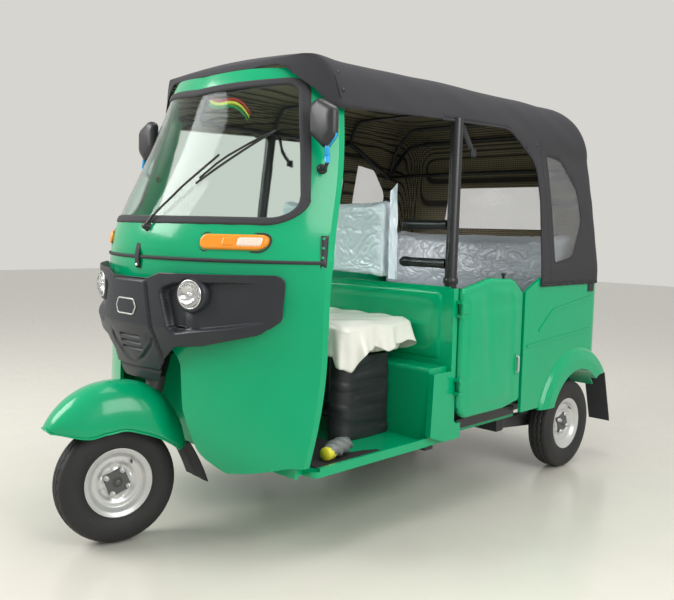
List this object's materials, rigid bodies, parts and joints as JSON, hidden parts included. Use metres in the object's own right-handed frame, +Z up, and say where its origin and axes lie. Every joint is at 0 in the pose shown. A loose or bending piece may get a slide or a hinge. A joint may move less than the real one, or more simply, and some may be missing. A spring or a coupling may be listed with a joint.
{
  "type": "auto rickshaw",
  "caption": "Three-wheeled auto rickshaw with a curved windscreen, steered front wheel, hinged passenger doors, bench seat and dark vinyl canopy.",
  "frame": {"origin": "on the floor, under the middle of the overall length and width", "axes": "+Y to the rear (the vehicle faces -Y), +X to the vehicle's left, +Z up"},
  "size_m": [1.32, 2.6192, 1.704],
  "materials": {
    "body_paint": "gloss",
    "hood_vinyl": "matt grained vinyl",
    "dark_plastic": "moulded, fine grain",
    "black_metal": "satin",
    "seal_rubber": "matt",
    "floor_mat": "matt",
    "clear_glass": "polished",
    "clear_film": "flexible window",
    "lamp_lens": "polished",
    "amber_lens": "polished",
    "red_lens": "polished",
    "mirror_face": "housing with mirror glass",
    "seat_wrap": "covered in clear film",
    "seat_vinyl": "matt",
    "wheel_steel": "silver",
    "tyre": "ribbed tread",
    "axle_steel": "semi-gloss",
    "engine_metal": "rough"
  },
  "bodies": {
    "vehicle": {"chassis_frame": "black_metal", "floor_pan": "body_paint", "floor_mats": "floor_mat", "front_bulkhead": "body_paint", "head_tube": "black_metal", "dashboard": "dark_plastic", "front_cowl": "body_paint", "windscreen_surround": "body_paint", "windscreen_seal": "seal_rubber", "windscreen_glass": "clear_glass", "wiper": "black_metal", "cowl_trim": "seal_rubber", "nose_fascia": "dark_plastic", "headlamps": "lamp_lens", "turn_indicators": "amber_lens", "mirrors": "mirror_face", "partition_panel": "body_paint", "driver_seat_base": "seat_vinyl", "driver_cushion": "seat_wrap", "driver_backrest": "seat_wrap", "side_pillars": "black_metal", "grab_rails": "black_metal", "side_sills": "black_metal", "side_panel_left": "body_paint", "side_panel_right": "body_paint", "rear_panel": "body_paint", "passenger_seat_base": "seat_vinyl", "passenger_cushion": "seat_wrap", "passenger_backrest": "seat_wrap", "canopy_skin": "hood_vinyl", "canopy_frame": "black_metal", "canopy_windows": "clear_film", "tail_lamps": "red_lens", "rear_bumper": "black_metal", "rear_mudflaps": "seal_rubber", "trailing_arms": "axle_steel", "rear_shocks": "axle_steel", "engine_block": "engine_metal", "exhaust": "axle_steel"},
    "door_left_body": {"door_left": "body_paint"},
    "door_right_body": {"door_right": "body_paint"},
    "engine_lid_body": {"engine_lid": "body_paint"},
    "steering": {"steering_fork": "axle_steel", "front_fender": "body_paint", "front_mudflap": "seal_rubber", "handlebar": "black_metal"},
    "front_wheel": {"front_rim": "wheel_steel", "front_tyre": "tyre"},
    "rear_wheel_left": {"rear_rim_left": "wheel_steel", "rear_tyre_left": "tyre"},
    "rear_wheel_right": {"rear_rim_right": "wheel_steel", "rear_tyre_right": "tyre"}
  },
  "joints": [
    {"name": "steer", "type": "hinge", "parent": "vehicle", "child": "steering", "pos_m": [0, -1.03, 0.208], "axis": [0, 0.309, 0.9511], "range_deg": [-28, 52]},
    {"name": "front_wheel_spin", "type": "hinge", "parent": "steering", "child": "front_wheel", "pos_m": [-0.00949, -1.07705, 0.20769], "axis": [0.9781, -0.1977, 0.0642], "continuous": true},
    {"name": "rear_left_spin", "type": "hinge", "parent": "vehicle", "child": "rear_wheel_left", "pos_m": [0.58, 0.922, 0.208], "axis": [1, 0, 0], "continuous": true},
    {"name": "rear_right_spin", "type": "hinge", "parent": "vehicle", "child": "rear_wheel_right", "pos_m": [-0.58, 0.922, 0.208], "axis": [1, 0, 0], "continuous": true},
    {"name": "door_left_hinge", "type": "hinge", "parent": "vehicle", "child": "door_left_body", "pos_m": [0.645, 0.02, 0.64], "axis": [0, 0, -1], "range_deg": [0, 70]},
    {"name": "door_right_hinge", "type": "hinge", "parent": "vehicle", "child": "door_right_body", "pos_m": [-0.645, 0.02, 0.64], "axis": [0, 0, 1], "range_deg": [0, 70]},
    {"name": "engine_lid_hinge", "type": "hinge", "parent": "vehicle", "child": "engine_lid_body", "pos_m": [0, 1.18, 0.844], "axis": [1, 0, 0], "range_deg": [0, 80]}
  ]
}
